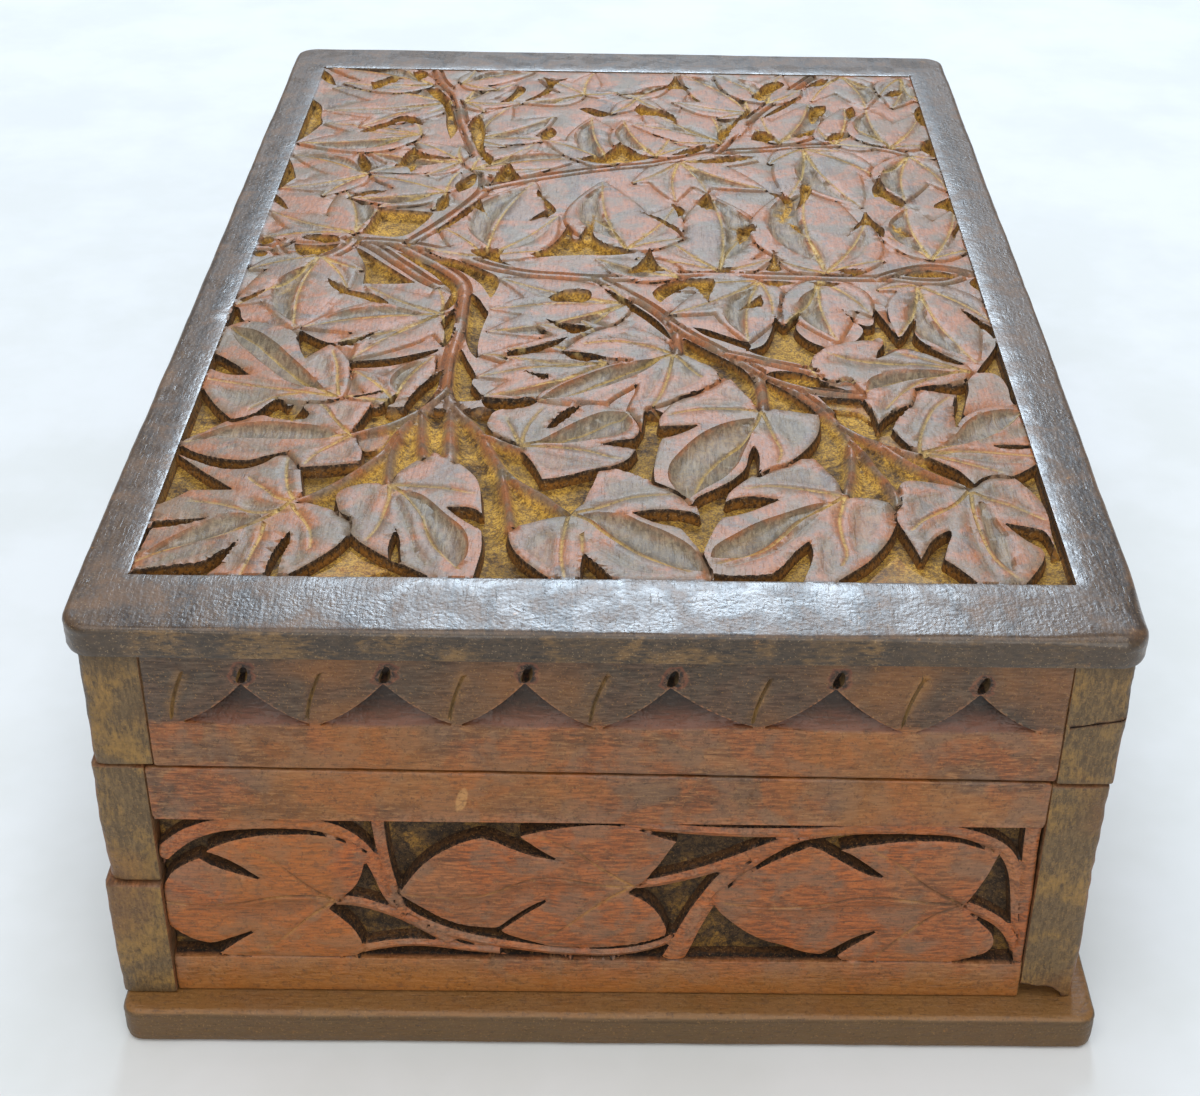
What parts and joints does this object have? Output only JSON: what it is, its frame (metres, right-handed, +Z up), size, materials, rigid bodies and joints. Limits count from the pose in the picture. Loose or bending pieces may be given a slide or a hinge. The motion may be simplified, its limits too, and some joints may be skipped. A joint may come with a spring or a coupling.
{
  "type": "carved wooden box",
  "caption": "Rectangular carved wooden box with a leaf-carved overhanging hinged lid, leaf and scallop carved walls and a stepped base board.",
  "frame": {"origin": "underside of the base board, on the middle of the walls", "axes": "+Z up through the lid, +Y along the long side, away from the carved end shown in front; +X towards the hinged long side"},
  "size_m": [0.1559, 0.2465, 0.079],
  "materials": {
    "walnut_lid": "carved, dark handled patina, satin wax, ochre dust in the hollows",
    "walnut_end_boards": "carved, red-brown, satin wax",
    "walnut_side_boards": "worn olive-brown end grain, satin",
    "walnut_base": "worn brown, satin, ochre edges",
    "hinge_brass": "aged, dull",
    "steel": "aged, dull"
  },
  "bodies": {
    "body": {"base_board": "walnut_base", "body_front_wall": "walnut_end_boards", "body_back_wall": "walnut_end_boards", "body_left_wall_lower": "walnut_side_boards", "body_left_wall_upper": "walnut_side_boards", "body_right_wall": "walnut_side_boards", "hinge_front_body_leaf": "hinge_brass", "hinge_front_pin": "steel", "screw_front_body_1": "steel", "screw_front_body_2": "steel", "hinge_rear_body_leaf": "hinge_brass", "hinge_rear_pin": "steel", "screw_rear_body_1": "steel", "screw_rear_body_2": "steel"},
    "lid": {"lid_board": "walnut_lid", "lid_front_wall": "walnut_end_boards", "lid_back_wall": "walnut_end_boards", "lid_left_wall": "walnut_side_boards", "lid_right_wall": "walnut_side_boards", "hinge_front_lid_leaf": "hinge_brass", "screw_front_lid_1": "steel", "screw_front_lid_2": "steel", "hinge_rear_lid_leaf": "hinge_brass", "screw_rear_lid_1": "steel", "screw_rear_lid_2": "steel"}
  },
  "joints": [
    {"name": "lid_hinge", "type": "hinge", "parent": "body", "child": "lid", "pos_m": [0.07712, 0, 0.0505], "axis": [0, 1, 0], "range_deg": [0, 180]}
  ]
}
